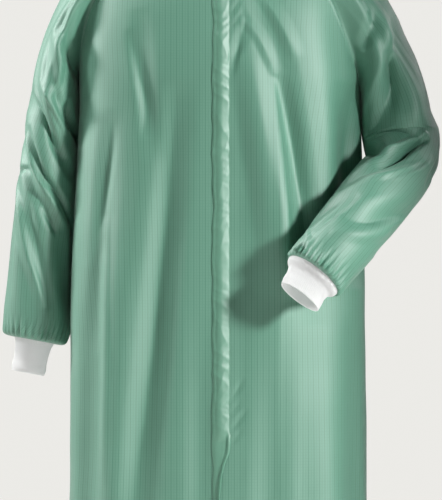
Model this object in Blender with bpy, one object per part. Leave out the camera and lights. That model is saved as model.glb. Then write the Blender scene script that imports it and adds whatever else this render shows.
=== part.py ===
"""A cleanroom coat filled out as worn, with nobody in it: the right sleeve hangs, the left is bent.

X runs across, to the wearer's left, Y from front to back and Z up. The origin is at the base of the
neck. Lengths are in millimetres up to the meshes, which are in metres. Angles round the body count
from the centre front, positive to the wearer's left.
"""

import math

import bpy
import numpy as np

COAT = "cleanroom_coat"
METRE = 0.001

# Walls and the gaps between pieces
CLOTH_WALL = 2.0
KNIT_WALL = 2.6
SEAM_GAP = 0.3
STRIP_GAP = 0.5
MOST_MITRE = 1.5

# Lengths of the coat below the neck base
HEM = -1130.0
FRONT_NECK = -78.0
BACK_NECK = -12.0
CENTRE_AT_UNDERARM = -340.0

# Rows of points down the panels: along the raglan seam, then from the underarm to the hem
RAGLAN_ROWS = 14
SKIRT_ROWS = 16
PANEL_STEPS = 12
# Degrees from the centre front or back to a side seam
SIDE_SEAM = 90.0

# Body sections: height, half width on the wearer's right and left, depth to the front and the back
TORSO = (
    (5, 122, 120, 45, 50),
    (-45, 175, 165, 64, 84),
    (-75, 200, 186, 84, 100),
    (-110, 218, 204, 104, 113),
    (-150, 226, 215, 120, 122),
    (-190, 230, 222, 131, 128),
    (-250, 234, 228, 139, 131),
    (-310, 236, 233, 142, 130),
    (-380, 236, 236, 139, 126),
    (-450, 240, 239, 136, 124),
    (-530, 245, 242, 135, 126),
    (-610, 249, 244, 137, 130),
    (-700, 252.5, 244.5, 140, 135),
    (-785, 252, 245, 143, 139),
    (-900, 253, 247, 147, 144),
    (-1040, 254, 248, 152, 149),
    (HEM, 257, 250, 156, 153),
)
# A section is an ellipse with fuller corners, whose power is over 2
FULLNESS = 2.4

# Raglan seams: height, degrees from the centre front or from the centre back
FRONT_SEAM = {
    "right": (
        (-45, 20),
        (-90, 33),
        (-140, 46),
        (-190, 58.5),
        (-248, 73),
        (-290, 82),
        (-316, 90),
    ),
    "left": (
        (-45, 21),
        (-90, 31),
        (-140, 41.5),
        (-190, 51),
        (-248, 61),
        (-297, 70.5),
        (-338, 82),
        (-352, 90),
    ),
}
BACK_SEAM = {
    "right": (
        (0, 26),
        (-50, 35),
        (-100, 42),
        (-190, 56),
        (-250, 67),
        (-290, 77),
        (-316, 90),
    ),
    "left": (
        (0, 26),
        (-50, 34),
        (-100, 41),
        (-190, 53),
        (-250, 62),
        (-300, 72),
        (-336, 82),
        (-352, 90),
    ),
}
# Top of the shoulder at the neck, between the two raglan corners
NECK_SIDE = (79, -7, -8)

# Largest folds of the body: start angle, start height, end angle, end height, width, depth.
# A ridge has a negative depth.
BODY_FOLDS = (
    (-33, -215, -27, -470, 62, 9),
    (-18, -340, -33, -1180, 84, 13),
    (-46, -380, -50, -780, 66, 7),
    (-52, -640, -58, -1320, 90, 9),
    (-40, -560, -44, -1330, 70, -7),
    (-7, -700, -8, -1330, 50, 5),
    (15, -150, 38, -680, 70, 11),
    (11, -290, 24, -690, 60, -8),
    (36, -170, 46, -520, 110, -8),
    (66, -330, 66, -680, 170, 30),
    (22, -690, 17, -1330, 70, 8),
    (40, -740, 44, -1330, 90, -8),
    (60, -720, 62, -1330, 80, 8),
    (112, -300, 126, -900, 90, 10),
    (152, -160, 160, -700, 80, 9),
    (172, -520, 178, -1330, 90, 10),
    (146, -700, 142, -1330, 90, 10),
    (-112, -340, -122, -860, 90, 10),
    (-150, -140, -156, -620, 80, 9),
    (-160, -640, -152, -1330, 90, 10),
    (-126, -740, -128, -1330, 90, 9),
)
DEGREE_ARC = 3.4

# Centre front: where the panels meet, and the edges of the strip over the zip
ZIP_LINE = -5.0
STRIP_FREE = -12.0
STRIP_MIDDLE = 6.0
STRIP_SEWN = 17.0
# Below the zip the sewn edge is loose and rolls over: height, x of the edge, lift off the panel
STRIP_LOOSE = (
    (-925, 17, 0),
    (-945, 15.5, 1.5),
    (-965, 8, 3),
    (-985, 3, 4),
    (-1010, 0, 4),
    (-1060, -2, 3),
    (HEM, -3, 2),
)
STRIP_WALL = 1.6
LOOSE_LIFT = 0.5

# Collar: height above the neckline, share of the neck's plan that is left, lean to the front
COLLAR = ((6, 0.985, 0.5), (16, 0.97, 1.0), (30, 0.965, 1.0), (44, 0.97, 0.0))
NECK_CENTRE_Y = -14.0

# Sleeves, below the upper arm: distance along, centre x, y, z, half width across, half depth
ARM = {
    "right": (
        (0, -282, 14, -343, 41, 74),
        (60, -287, 22, -403, 45, 70),
        (120, -292, 28, -463, 48, 67),
        (190, -297, 34, -533, 52, 64),
        (260, -302.5, 38, -603, 55, 62),
        (330, -307, 38, -673, 57.5, 60),
        (390, -311.5, 36, -733, 59.5, 58),
        (425, -318, 34, -768, 53, 54),
    ),
    "left": (
        (0, 303, 8, -385, 60, 72),
        (38, 308, 8, -423, 65, 68),
        (76, 309, -10, -456, 62, 64),
        (122, 296, -44, -486, 58, 62),
        (172, 272, -86, -513, 58, 61),
        (232, 243, -120, -547, 58, 60),
        (290, 212, -150, -584, 57, 58),
        (342, 180.5, -172, -621, 56, 56),
        (388, 152.5, -187, -654.5, 52.5, 52.5),
    ),
}
SHOULDER_SLOPE = (0.985, -0.17)
SHOULDER_PULL = 0.86
FOLD_START = 90.0
# Least pull with which a sleeve leaves its seam: on from the panel, and out from it
LEAST_PULL = (35.0, 45.0)
AROUND = 32
NECK_POINTS = 2
SHOULDER_STATIONS = (0.0, 0.14, 0.27, 0.4, 0.53, 0.66, 0.78, 0.89)
SLEEVE_RINGS = 11
# Distance each way over which an arm's direction is measured
AXIS_REACH = 2.0
# Distance of a shoulder station from the upper-arm ring, in the table of the sleeves' folds
SHOULDER_LENGTH = 140.0

# Gathered sleeve end: distance back from the end, depth of the gathers, share of the way in to the cuff
SLEEVE_END = ((34, 0.6, 0.0), (16, 1.6, 0.0), (4, 2.2, 0.06), (-1, 1.6, 0.45), (-1, 0.0, 1.0))

# Largest folds of the sleeves: start angle, start distance, end angle, end distance, width, depth.
# Angles count from the outside of the arm, over its front to its inside.
SLEEVE_FOLDS = {
    "right": (
        (40, -90, 130, 60, 50, 9),
        (20, -40, 150, 150, 46, 8),
        (-10, 60, 120, 240, 50, 9),
        (60, -110, 90, 40, 44, -7),
        (30, 180, 60, 420, 60, -5),
        (200, 20, 300, 200, 60, 9),
        (230, 160, 330, 330, 60, 8),
        (120, 220, 160, 420, 60, 6),
        (0, -150, 0, 40, 150, 5),
    ),
    "left": (
        (30, -120, 120, 10, 50, 9),
        (70, -130, 60, 20, 46, -7),
        (150, 40, 60, 90, 60, 8),
        (40, 120, 140, 260, 66, 8),
        (80, 230, 190, 400, 60, 6),
        (-60, 30, -20, 110, 60, 7),
        (250, 120, 330, 300, 60, 7),
        (0, -150, 0, 30, 150, 8),
    ),
}
SLEEVE_DEGREE_ARC = 1.05

# Cuffs: distance out of the sleeve, half width, half depth
CUFF = {
    "right": (
        (-6, 31, 26),
        (0, 32, 27),
        (8, 29.5, 25.5),
        (20, 27.5, 24),
        (38, 26.5, 23),
        (54, 26.5, 23.5),
        (57, 25, 22),
    ),
    "left": (
        (-6, 45, 37),
        (0, 46.5, 38.5),
        (6, 45.5, 37),
        (12, 39.5, 30),
        (22, 36, 26),
        (36, 36, 24),
        (46, 35, 23),
    ),
}
CUFF_TURN = {"right": 0.0, "left": -18.0}
# How far the open end of a cuff leans off its axis
CUFF_LEAN = {"right": (0, 0, 0), "left": (5, -12, -2)}
CUFF_AROUND = 24
CUFF_FIT = 0.5

# Finish: sRGB colour and roughness
FINISH = {
    "polyester": ((0.44, 0.60, 0.53), 0.45),
    "satin": ((0.52, 0.69, 0.61), 0.32),
    "knit": ((0.88, 0.88, 0.88), 0.85),
}

SHARP_EDGE = 50
DISPLAY_GAMMA = 2.2

SIDES = {"right": -1, "left": 1}


def hermite(start, start_pull, end, end_pull, t):
    """A point of the smooth curve between two points that are left with the given pulls."""
    return (
        (2 * t**3 - 3 * t**2 + 1) * start
        + (t**3 - 2 * t**2 + t) * start_pull
        + (3 * t**2 - 2 * t**3) * end
        + (t**3 - t**2) * end_pull
    )


def smooth(table, at):
    """The other columns of a table at one value of its first column, on a curve through its rows."""
    rows = np.array(table, float)
    rows = rows[np.argsort(rows[:, 0])]
    keys, values = rows[:, 0], rows[:, 1:]
    slopes = np.gradient(values, keys, axis=0)
    at = min(max(at, keys[0]), keys[-1])
    low = min(max(int(np.searchsorted(keys, at)) - 1, 0), len(keys) - 2)
    span = keys[low + 1] - keys[low]
    along = (at - keys[low]) / span
    return hermite(values[low], slopes[low] * span, values[low + 1], slopes[low + 1] * span, along)


def unit(vector):
    return vector / np.linalg.norm(vector)


def relief(folds, degrees, place, arc):
    """How far a fold table moves the cloth outwards at an angle and a place along the folds."""
    out = 0.0
    for start_angle, start, end_angle, end, width, depth in folds:
        along = (place - start) / (end - start)
        if not 0 < along < 1:
            continue
        middle = start_angle + (end_angle - start_angle) * along
        away = ((degrees - middle + 180) % 360 - 180) * arc / (width / 2)
        if abs(away) < 1:
            out -= depth * math.sin(math.pi * along) ** 0.8 * math.cos(math.pi / 2 * away) ** 2
    return out


def torso(angle, height):
    """A point of the filled-out body at an angle round it and a height."""
    right, left, front, back = smooth(TORSO, height)
    across, ahead = math.sin(angle), math.cos(angle)
    reach = (abs(across) ** FULLNESS + abs(ahead) ** FULLNESS) ** (-1 / FULLNESS)
    half = left if across > 0 else right
    depth = front if ahead > 0 else back
    point = np.array((half * across * reach, -depth * ahead * reach, height))
    outward = unit(np.array((across / half, -ahead / depth, 0.0)))
    return point + outward * relief(BODY_FOLDS, math.degrees(angle), height, DEGREE_ARC)


def torso_normal(angle, height):
    turn = torso(angle + 0.01, height) - torso(angle - 0.01, height)
    rise = torso(angle, height + 2) - torso(angle, height - 2)
    return unit(np.cross(turn, rise))


def angle_at(x, height):
    """The angle round the front at which a section reaches x."""
    right, left = smooth(TORSO, height)[:2]
    share = x / (left if x > 0 else right)
    size = abs(share)
    return math.copysign(math.atan(size / (1 - size**FULLNESS) ** (1 / FULLNESS)), share)


def row_heights(neck, underarm):
    """Height of each row: evenly spaced from the neck to the underarm, then to the hem."""
    upper = np.linspace(neck, underarm, RAGLAN_ROWS + 1)
    lower = np.linspace(underarm, HEM, SKIRT_ROWS + 1)
    return [*upper, *lower[1:]]


def seam_rows(side, face):
    """Angle and height of each row at a panel's outer edge: the raglan seam, then the side seam."""
    table = (FRONT_SEAM if face == "front" else BACK_SEAM)[side]
    heights = row_heights(table[0][0], table[-1][0])
    rows = []
    for row, height in enumerate(heights):
        degrees = min(smooth(table, height)[0], SIDE_SEAM - 0.5) if row < RAGLAN_ROWS else SIDE_SEAM
        rows.append((math.radians(SIDES[side] * (degrees if face == "front" else 180 - degrees)), height))
    return rows


class Cloth:
    """Rows of a piece's outer points, the outward direction at each, and how far its seams part them."""

    def __init__(self, points, normals):
        self.points = points
        self.normals = normals
        self.parted = np.zeros_like(points)


def sew(lower, upper, towards):
    """Mitres the walls that meet at each point of a seam, and parts the pieces there by the seam gap.

    Lower holds a list of (cloth, place) for each point, upper one (cloth, place), and towards the rough
    direction from the lower pieces to the upper one.
    """
    runs = np.gradient(np.array([cloth.points[place] for cloth, place in upper]), axis=0)
    for owners, (above, at), run, way in zip(lower, upper, runs, towards):
        below = unit(sum(unit(cloth.normals[place]) for cloth, place in owners))
        both = below + unit(above.normals[at])
        mitre = unit(both)
        reach = min(2 / np.linalg.norm(both), MOST_MITRE)
        across = unit(np.cross(run, mitre))
        across *= math.copysign(SEAM_GAP / 2, across.dot(way))
        for cloth, place in owners:
            cloth.normals[place] = mitre * reach
            cloth.parted[place] -= across
        above.normals[at] = mitre * reach
        above.parted[at] += across


def half_panel(side, face, fixed_x):
    """Outer points and normals of a panel from its centre to one side, row by row.

    The first columns stand at fixed values of x, and the rest share out the angle that is left.
    """
    neck = FRONT_NECK if face == "front" else BACK_NECK
    points, normals = [], []
    centres = row_heights(neck, CENTRE_AT_UNDERARM)
    middle = 0.0 if face == "front" else SIDES[side] * math.pi
    for (edge, edge_height), centre in zip(seam_rows(side, face), centres):
        angles = [angle_at(x, centre) for x in fixed_x]
        start = angles[-1] if angles else middle
        steps = range(1 if angles else 0, PANEL_STEPS + 1)
        angles += [start + (edge - start) * step / PANEL_STEPS for step in steps]
        drop = edge_height - centre
        heights = [centre + drop * ((angle - middle) / (edge - middle)) ** 2 for angle in angles]
        points.append([torso(a, z) for a, z in zip(angles, heights)])
        normals.append([torso_normal(a, z) for a, z in zip(angles, heights)])
    return Cloth(np.array(points), np.array(normals))


def shell(name, cloth, wall, finish, closed=False, facing=1):
    """One closed wall from rows of outer points: the inner points lie a wall's thickness under them."""
    outer = cloth.points + cloth.parted
    rows, columns = outer.shape[:2]
    inner = outer - cloth.normals * wall
    count = rows * columns
    points = np.concatenate([outer.reshape(-1, 3), inner.reshape(-1, 3)]) * METRE
    spans = columns if closed else columns - 1
    faces = []
    for row in range(rows - 1):
        for column in range(spans):
            after = (column + 1) % columns
            a, b = row * columns + column, row * columns + after
            c, d = a + columns, b + columns
            faces.append((a, c, d, b))
            faces.append((a + count, b + count, d + count, c + count))
    for column in range(spans):
        after = (column + 1) % columns
        last = (rows - 1) * columns
        # The rim's quads are split along the same diagonals as those of the edge sewn to it
        rim = (column, after, after + count, column + count)
        faces.append(rim[1:] + rim[:1] if closed and column >= columns // 2 else rim)
        faces.append((last + column, last + column + count, last + after + count, last + after))
    if not closed:
        for row in range(rows - 1):
            a, b = row * columns, (row + 1) * columns
            faces.append((a, a + count, b + count, b))
            a, b = a + columns - 1, b + columns - 1
            faces.append((a, b, b + count, a + count))
    if facing < 0:
        faces = [face[:1] + face[:0:-1] for face in faces]
    mesh = bpy.data.meshes.new(name)
    mesh.from_pydata(points.tolist(), [], faces)
    mesh.validate()
    mesh.shade_smooth()
    mesh.set_sharp_from_angle(angle=math.radians(SHARP_EDGE))
    mesh.materials.append(material(name, finish))
    piece = bpy.data.objects.new(name, mesh)
    bpy.data.collections[COAT].objects.link(piece)
    return piece


def material(name, finish):
    colour, roughness = FINISH[finish]
    made = bpy.data.materials.new(name + "_" + finish)
    made.use_nodes = True
    shader = made.node_tree.nodes["Principled BSDF"]
    shader.inputs["Base Color"].default_value = [*(channel**DISPLAY_GAMMA for channel in colour), 1]
    shader.inputs["Roughness"].default_value = roughness
    return made


def grid_normals(points, facing, closed=True):
    """Normals of rows of points, from the run of each row and column."""
    if closed:
        wide = np.concatenate([points[:, -1:], points, points[:, :1]], axis=1)
        around = wide[:, 2:] - wide[:, :-2]
    else:
        around = np.gradient(points, axis=1)
    along = np.gradient(points, axis=0)
    normals = np.cross(around, along) * facing
    return normals / np.linalg.norm(normals, axis=2, keepdims=True)


def neck_side(side, front_corner, back_corner):
    """The three points over the shoulder at the neck, from the front corner to the back one."""
    middle = np.array(NECK_SIDE, float) * (SIDES[side], 1, 1)
    pull = 2 * middle - (front_corner + back_corner) / 2
    across = [(t, 1 - t) for t in (0.25, 0.5, 0.75)]
    return [front_corner * u**2 + pull * 2 * t * u + back_corner * t**2 for t, u in across]


def arm_frames(side):
    """Centre, axis and two cross directions at each distance along the sleeve's rings."""
    length = ARM[side][-1][0]
    places = [length * step / (SLEEVE_RINGS - 1) for step in range(SLEEVE_RINGS)]
    last_back = SLEEVE_END[0][0]
    places = [place * (length - last_back) / length for place in places]
    places += [length - back for back, _, _ in SLEEVE_END[1:]]
    frames, outward = [], np.array((SIDES[side], 0.0, 0.0))
    for place in places:
        inside = min(place, length)
        section = smooth(ARM[side], inside)
        after = min(inside + AXIS_REACH, length)
        axis = unit(smooth(ARM[side], after)[:3] - smooth(ARM[side], after - 2 * AXIS_REACH)[:3])
        outward = unit(outward - axis * outward.dot(axis))
        ahead = np.cross(axis, outward) * SIDES[side]
        centre = section[:3] + axis * (place - inside)
        frames.append((place, centre, axis, outward, ahead, section[3], section[4]))
    return frames


def turned(outward, ahead, degrees):
    cos, sin = math.cos(math.radians(degrees)), math.sin(math.radians(degrees))
    return outward * cos + ahead * sin, ahead * cos - outward * sin


def sleeve(side, front, back):
    """The sleeve: over the shoulder from the raglan loop, down the arm, then gathered in to the cuff."""
    sign = SIDES[side]
    armhole = [[(front, (row, -1))] for row in range(RAGLAN_ROWS)]
    armhole.append([(front, (RAGLAN_ROWS, -1)), (back, (RAGLAN_ROWS, -1))])
    armhole += [[(back, (row, -1))] for row in range(RAGLAN_ROWS - 1, -1, -1)]
    edge = np.array([pieces[0][0].points[pieces[0][1]] for pieces in armhole])
    within = np.array([pieces[0][0].points[pieces[0][1][0], -2] for pieces in armhole])
    faces = np.array([unit(sum(cloth.normals[place] for cloth, place in pieces)) for pieces in armhole])
    seam = list(range(NECK_POINTS, NECK_POINTS + len(armhole)))
    over = neck_side(side, edge[0], edge[-1])
    loop = [over[1], over[0], *edge, over[2]]
    onwards = np.cross(np.gradient(edge, axis=0), faces)
    onwards *= np.sign(np.sum(onwards * (edge - within), axis=1) / np.sum(onwards**2, axis=1))[:, None]
    leaving = {column: (unit(onward), face) for column, onward, face in zip(seam, onwards, faces)}
    frames = arm_frames(side)
    turns = [math.tau * step / AROUND for step in range(AROUND)]

    rings = []
    _, centre, axis, outward, ahead, across, depth = frames[0]
    upper = [centre + outward * across * math.cos(t) + ahead * depth * math.sin(t) for t in turns]
    slope = np.array((sign * SHOULDER_SLOPE[0], 0, SHOULDER_SLOPE[1]))
    for station in SHOULDER_STATIONS:
        ring = []
        for column, (start, end, t) in enumerate(zip(loop, upper, turns)):
            reach = np.linalg.norm(end - start)
            top = math.cos(t / 2) ** 2
            pull = reach * SHOULDER_PULL * (slope * top + unit(end - start) * (1 - top))
            for way, least in zip(leaving.get(column, ()), LEAST_PULL):
                pull = pull + way * max(0.0, least - pull.dot(way))
            point = hermite(start, pull, end, axis * reach, station)
            place = (station - 1) * SHOULDER_LENGTH
            swell = relief(SLEEVE_FOLDS[side], math.degrees(t), place, SLEEVE_DEGREE_ARC)
            spread = unit(outward * math.cos(t) + ahead * math.sin(t))
            ring.append(point + spread * swell * min(1, station * reach / FOLD_START))
        rings.append(ring)

    ends = {len(frames) - len(SLEEVE_END) + step: row for step, row in enumerate(SLEEVE_END)}
    for index, (place, centre, axis, outward, ahead, across, depth) in enumerate(frames):
        gather, inwards = ends[index][1:] if index in ends else (0.0, 0.0)
        cuff_across, cuff_depth = smooth(CUFF[side], 0) + CUFF_FIT
        long_way, short_way = turned(outward, ahead, CUFF_TURN[side])
        ring = []
        for step, t in enumerate(turns):
            swell = relief(SLEEVE_FOLDS[side], math.degrees(t), place, SLEEVE_DEGREE_ARC)
            swell += gather * (1 if step % 2 else -1)
            spread = unit(outward * math.cos(t) * depth + ahead * math.sin(t) * across)
            wide = outward * across * math.cos(t) + ahead * depth * math.sin(t) + spread * swell
            turn = t - math.radians(CUFF_TURN[side])
            narrow = long_way * cuff_across * math.cos(turn) + short_way * cuff_depth * math.sin(turn)
            ring.append(centre + wide * (1 - inwards) + narrow * inwards)
        rings.append(ring)

    points = np.array(rings)
    made = Cloth(points, grid_normals(points, sign))
    made.normals[-1] = frames[-1][2]
    sew(armhole, [(made, (0, column)) for column in seam], points[1, seam] - points[0, seam])
    return made, frames[-1]


def cuff(side, frame):
    """The knit tube that comes out of the gathered sleeve end."""
    _, centre, axis, outward, ahead, _, _ = frame
    long_way, short_way = turned(outward, ahead, CUFF_TURN[side])
    rings = []
    lean, length = np.array(CUFF_LEAN[side], float), CUFF[side][-1][0]
    for distance, across, depth in CUFF[side]:
        ring = []
        for step in range(CUFF_AROUND):
            t = math.tau * step / CUFF_AROUND
            round_point = long_way * across * math.cos(t) + short_way * depth * math.sin(t)
            ring.append(centre + axis * distance + lean * max(0, distance / length) ** 2 + round_point)
        rings.append(ring)
    points = np.array(rings)
    knit = Cloth(points, grid_normals(points, SIDES[side]))
    shell("cuff_" + side, knit, KNIT_WALL, "knit", closed=True, facing=-SIDES[side])


def collar(owners):
    """A low stand collar on the neckline, its two ends meeting over the zip."""
    base = np.array([pieces[0][0].points[pieces[0][1]] for pieces in owners])
    rows = [base]
    for height, share, lean in COLLAR:
        row = base.copy()
        row[:, 0] *= share
        row[:, 1] = NECK_CENTRE_Y + (row[:, 1] - NECK_CENTRE_Y) * share - lean
        row[:, 2] += height
        row[0, 0], row[-1, 0] = base[0, 0], base[-1, 0]
        rows.append(row)
    points = np.array(rows)
    stand = Cloth(points, -grid_normals(points, 1, closed=False))
    sew(owners, [(stand, (0, column)) for column in range(len(owners))], points[1] - points[0])
    stand.parted[:, 0, 0] -= SEAM_GAP / 2
    stand.parted[:, -1, 0] += SEAM_GAP / 2
    stand.normals[:, (0, -1), 0] = 0
    return stand


def zip_cover(right, left, stand):
    """The strip over the zip, lying on the collar's front and on both front panels."""
    picks = ((right, 1), (left, 0), (left, 1), (left, 2))
    points = np.stack([cloth.points[:, column] for cloth, column in picks], axis=1)
    normals = np.stack([cloth.normals[:, column] for cloth, column in picks], axis=1)
    lift = np.zeros(points.shape[:2])
    for row, height in enumerate(row_heights(FRONT_NECK, CENTRE_AT_UNDERARM)):
        if height > STRIP_LOOSE[0][0]:
            continue
        edge, raised = smooth(STRIP_LOOSE, height)
        for column, x in ((2, (ZIP_LINE + edge) / 2), (3, edge)):
            angle = angle_at(x, height)
            points[row, column] = torso(angle, height)
            normals[row, column] = torso_normal(angle, height)
        lift[row] = (LOOSE_LIFT, LOOSE_LIFT, LOOSE_LIFT + raised / 2, LOOSE_LIFT + raised)
    points = points + normals * lift[:, :, None]
    picks = (1, -1, -2, -3)
    points = np.concatenate([stand.points[:0:-1, picks], points])
    normals = np.concatenate([stand.normals[:0:-1, picks], normals])
    return Cloth(points + normals * (STRIP_GAP + STRIP_WALL), normals)


def part_side_seams(fronts, backs):
    for side in SIDES:
        fronts[side].parted[RAGLAN_ROWS:, -1, 1] -= SEAM_GAP / 2
        backs[side].parted[RAGLAN_ROWS:, -1, 1] += SEAM_GAP / 2
        fronts[side].parted[:, 0, 0] += SIDES[side] * SEAM_GAP / 2


def neckline(fronts, backs, sleeves):
    """The pieces that own each point of the neckline, from the right front round the back to the left."""
    first, last = NECK_POINTS, AROUND - NECK_POINTS
    halves = {}
    for side in SIDES:
        front, back, arm = fronts[side], backs[side], sleeves[side]
        run = [[(front, (0, column))] for column in range(front.points.shape[1])]
        run[-1].append((arm, (0, first)))
        run += [[(arm, (0, column))] for column in (1, 0, AROUND - 1)]
        run.append([(back, (0, -1)), (arm, (0, last))])
        run += [[(back, (0, column))] for column in range(back.points.shape[1] - 2, 0, -1)]
        halves[side] = run
    centre = [[(backs["right"], (0, 0)), (backs["left"], (0, 0))]]
    return halves["right"] + centre + halves["left"][::-1]


def coat():
    fixed = {"right": (ZIP_LINE, STRIP_FREE), "left": (ZIP_LINE, STRIP_MIDDLE, STRIP_SEWN)}
    fronts = {side: half_panel(side, "front", fixed[side]) for side in SIDES}
    backs = {side: half_panel(side, "back", ()) for side in SIDES}
    sleeves, ends = {}, {}
    for side in SIDES:
        sleeves[side], ends[side] = sleeve(side, fronts[side], backs[side])
    part_side_seams(fronts, backs)
    stand = collar(neckline(fronts, backs, sleeves))

    for side, sign in SIDES.items():
        shell("front_" + side, fronts[side], CLOTH_WALL, "polyester", facing=sign)
        shell("sleeve_" + side, sleeves[side], CLOTH_WALL, "polyester", closed=True, facing=-sign)
        cuff(side, ends[side])
    whole = Cloth(joined(backs, "points"), joined(backs, "normals"))
    whole.parted = joined(backs, "parted")
    shell("back", whole, CLOTH_WALL, "polyester", facing=-1)
    shell("collar", stand, CLOTH_WALL, "polyester")
    shell("zip_cover", zip_cover(fronts["right"], fronts["left"], stand), STRIP_WALL, "satin")


def joined(halves, part):
    """One array across the back, from its right side to its left."""
    right, left = getattr(halves["right"], part), getattr(halves["left"], part)
    return np.concatenate([right[:, ::-1], left[:, 1:]], axis=1)


def clear_scene():
    for item in list(bpy.data.objects):
        bpy.data.objects.remove(item, do_unlink=True)
    group = bpy.data.collections.new(COAT)
    bpy.context.scene.collection.children.link(group)


clear_scene()
coat()
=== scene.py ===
# %% [markdown]
# # A cleanroom coat, filled out as if worn
#
# This coat keeps dust and fibres in. Its cloth is a smooth polyester with a dark yarn woven in every few
# millimetres, which carries static away. The lesson sews it piece by piece over the solids of the packed
# model: fronts, back, raglan sleeves, collar, knit cuffs and the satin strip over the zip.
#
# Lengths are in millimetres until a mesh is made, because that is how a pattern maker thinks. X runs to
# the wearer's left, Y from front to back, Z up, and the origin is at the base of the neck.

import math

import bpy
import numpy as np
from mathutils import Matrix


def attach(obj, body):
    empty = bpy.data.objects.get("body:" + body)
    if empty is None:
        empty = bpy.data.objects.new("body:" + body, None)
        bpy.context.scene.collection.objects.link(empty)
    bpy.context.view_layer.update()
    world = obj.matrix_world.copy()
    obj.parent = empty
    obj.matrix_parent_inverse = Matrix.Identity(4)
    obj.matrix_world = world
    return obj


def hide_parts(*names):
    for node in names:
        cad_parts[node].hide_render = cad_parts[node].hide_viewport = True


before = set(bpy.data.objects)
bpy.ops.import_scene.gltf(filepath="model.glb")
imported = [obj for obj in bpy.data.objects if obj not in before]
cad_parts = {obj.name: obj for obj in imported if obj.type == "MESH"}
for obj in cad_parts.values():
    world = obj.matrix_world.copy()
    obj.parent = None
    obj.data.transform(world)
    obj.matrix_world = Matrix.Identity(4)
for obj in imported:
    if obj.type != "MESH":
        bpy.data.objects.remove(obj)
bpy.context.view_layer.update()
METRE = 0.001
SIDES = {"right": -1, "left": 1}
print("nodes", sorted(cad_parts))

# %% [markdown]
# ## A picture to work against
#
# The coat is seen from the front, from so far away that it hardly shows any perspective. A long lens does
# that. The ground is a wide pale disc well under the hem, and a plain pale dome stands behind everything.
# The dome is only seen: it is kept out of the lighting, so that the shadows between sleeve and body stay
# deep.

# %% Camera
DISTANCE = 4.2
VIEW_HEIGHT = 0.85
VIEW_CENTRE_X, VIEW_CENTRE_Z = 0.0017, -0.615
SENSOR = 36
camera_data = bpy.data.cameras.new("camera")
camera_data.sensor_width = SENSOR
camera_data.lens = SENSOR * DISTANCE / VIEW_HEIGHT
camera_data.clip_end = 60
camera = bpy.data.objects.new("camera", camera_data)
camera.location = (VIEW_CENTRE_X, -DISTANCE, VIEW_CENTRE_Z)
camera.rotation_euler = (math.pi / 2, 0, 0)
bpy.context.collection.objects.link(camera)
bpy.context.scene.camera = camera
bpy.context.scene.view_settings.view_transform = "Standard"
print("lens", round(camera_data.lens), "mm")

# %% [markdown]
# ## Colours and shader nodes
#
# Colours are picked on a screen as sRGB hex, while Blender's shaders add up linear light, so one function
# turns the first into the second. Nodes could be placed by hand, but a helper that adds a node together
# with its settings and links lets a whole finish be read from top to bottom.


# %% Helpers for materials
def linear(hex_colour):
    """A colour as Blender's shaders want it, from sRGB hex."""
    channels = [int(hex_colour[start : start + 2], 16) / 255 for start in (1, 3, 5)]
    return [*(c / 12.92 if c <= 0.04045 else ((c + 0.055) / 1.055) ** 2.4 for c in channels), 1]


def add_node(tree, kind, settings=None, **inputs):
    """Adds a node, sets its options, and feeds each named input with a number, a colour or a link."""
    node = tree.nodes.new(kind)
    for name, value in (settings or {}).items():
        setattr(node, name, value)
    for name, value in inputs.items():
        socket = node.inputs[int(name[1:])] if name[1:].isdigit() else node.inputs[name.replace("_", " ")]
        if isinstance(value, bpy.types.NodeSocket):
            tree.links.new(value, socket)
        else:
            socket.default_value = value
    return node


def new_material(name, **values):
    """A material, its nodes and its shader, with the values given by the names of the shader's sockets."""
    made = bpy.data.materials.new(name)
    made.use_nodes = True
    shader = made.node_tree.nodes["Principled BSDF"]
    for socket, value in values.items():
        shader.inputs[socket.replace("_", " ")].default_value = value
    return made, made.node_tree, shader


print("mid grey #808080 is", round(linear("#808080")[0], 3), "in linear light")

# %% Ground and dome
STUDIO = "#ebeae6"
FLOOR_Z = -1.42
GROUND_RADIUS, DOME_RADIUS = 3, 20


def deselect():
    if bpy.context.object and bpy.context.object.mode != "OBJECT":
        bpy.ops.object.mode_set(mode="OBJECT")
    bpy.ops.object.select_all(action="DESELECT")


deselect()
bpy.ops.mesh.primitive_circle_add(
    vertices=96, radius=GROUND_RADIUS, fill_type="NGON", location=(0, 0, FLOOR_Z)
)
bpy.ops.object.transform_apply(location=True)
ground = bpy.context.object
ground.name = "ground"
# Background paper comes on a roll and is matt, so it shows soft shadows and no shine
paper = new_material("pale_studio_paper", Base_Color=linear(STUDIO), Roughness=0.9)[0]
ground.data.materials.append(paper)

deselect()
bpy.ops.mesh.primitive_uv_sphere_add(segments=48, ring_count=24, radius=DOME_RADIUS)
dome = bpy.context.object
dome.name = "dome"
# An evenly lit backdrop looks the same all over, and light of its own gives just that
glow = new_material(
    "pale_backdrop_light", Base_Color=(0, 0, 0, 1), Emission_Color=linear(STUDIO), Emission_Strength=1
)[0]
dome.data.materials.append(glow)
for way in ("diffuse", "glossy", "transmission", "shadow"):
    setattr(dome, "visible_" + way, False)
print("ground", FLOOR_Z, "m")

# %% [markdown]
# ## Light
#
# The folds are told by the light. The key lamp stands on the right, in front of the coat and only a
# little above it, so cloth that turns to the right is bright, and the bent arm and its cuff throw a
# narrow shadow on the body. A larger lamp would wash the folds out, and a smaller one would make polyester
# look like plastic. A second lamp hangs high on the left and rakes down the body and the hanging sleeve.
# Two stand behind and give light edges, and a weak wide one in front keeps the deepest folds from black.
#
# The outer side of the bent arm faces the key lamp, yet it has to be dark. A photographer keeps light off
# one spot with a black card on a stand, called a flag, and so it is done here.

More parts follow.
